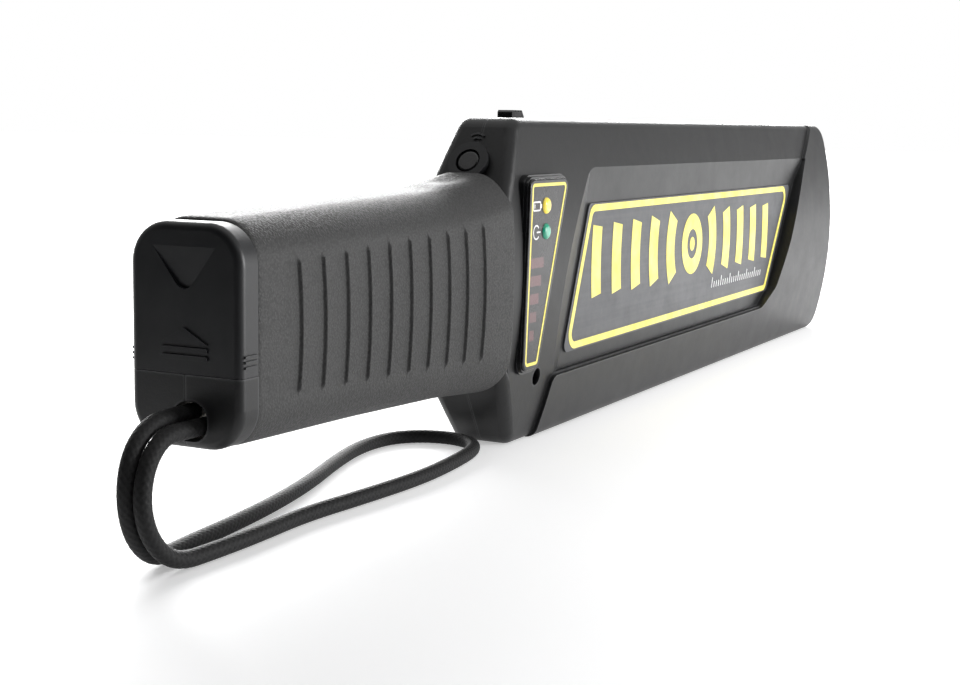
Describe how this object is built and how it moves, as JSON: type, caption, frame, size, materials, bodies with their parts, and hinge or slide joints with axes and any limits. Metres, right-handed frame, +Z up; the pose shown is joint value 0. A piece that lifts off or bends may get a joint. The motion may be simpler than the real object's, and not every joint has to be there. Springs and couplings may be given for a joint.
{
  "type": "hand-held metal detector wand",
  "caption": "Flat crowned search paddle with a rubber-gripped handle behind it, light panel, slide switch, push button, sliding battery door and wrist loop.",
  "frame": {"origin": "centre of the wand's box, lanyard left out, on the surface that the paddle's lower edge stands on", "axes": "+X along the wand to the nose, -Y out of the face with the lights, +Z up"},
  "size_m": [0.4357, 0.0359, 0.085],
  "materials": {
    "housing": "fine-grained satin",
    "grip_rubber": "fine pebble",
    "smooth_plastic": "satin",
    "gloss_black": "polished",
    "nameplate": "printed, satin",
    "battery_jacket": "printed sleeve",
    "nickel": "nickel plated",
    "steel": "zinc plated",
    "red_wire": "extruded",
    "black_wire": "extruded",
    "yellow_lamp": "tinted epoxy",
    "green_lamp": "tinted epoxy",
    "red_lamp": "tinted acrylic",
    "clear_plastic": "moulded clear",
    "board": "solder mask",
    "chip": "moulded",
    "white_plastic": "moulded",
    "copper": "enamelled wire",
    "cord": "round braid"
  },
  "bodies": {
    "root": {"front_shell": "housing", "rear_shell": "housing", "rubber_grip": "grip_rubber", "battery_9v": "battery_jacket", "battery_terminals": "nickel", "battery_snap": "smooth_plastic", "battery_lead_red": "red_wire", "battery_lead_black": "black_wire", "indicator_bezel": "gloss_black", "indicator_panel": "gloss_black", "battery_led": "yellow_lamp", "power_led": "green_lamp", "alarm_light_bars": "red_lamp", "light_guide": "clear_plastic", "circuit_board": "board", "microcontroller": "chip", "board_capacitors": "chip", "board_connector": "white_plastic", "power_switch_body": "smooth_plastic", "button_ring": "smooth_plastic", "button_tact_switch": "smooth_plastic", "front_nameplate": "nameplate", "rear_nameplate": "nameplate", "search_coil_former": "white_plastic", "search_coil_winding": "copper", "sounder": "smooth_plastic", "vibration_motor": "nickel", "vibration_motor_boot": "grip_rubber", "housing_screws": "steel", "lanyard_anchor": "nickel", "wrist_lanyard": "cord"},
    "door": {"battery_door": "smooth_plastic"},
    "switch_knob": {"power_switch_knob": "gloss_black"},
    "button": {"sensitivity_button": "gloss_black"},
    "motor_weight": {"vibration_weight": "steel"}
  },
  "joints": [
    {"name": "battery_door_slide", "type": "slide", "parent": "root", "child": "door", "axis": [0, 0, 1], "range_m": [0, 0.03]},
    {"name": "power_switch_slide", "type": "slide", "parent": "root", "child": "switch_knob", "axis": [1, 0, 0], "range_m": [-0.0025, 0.0025]},
    {"name": "sensitivity_button_press", "type": "slide", "parent": "root", "child": "button", "axis": [0.8576, 0, -0.5143], "range_m": [0, 0.0012], "stiffness_N_per_m": 400},
    {"name": "vibration_weight_spin", "type": "hinge", "parent": "root", "child": "motor_weight", "pos_m": [-0.0407, 0.0024, 0.0095], "axis": [1, 0, 0], "continuous": true}
  ]
}
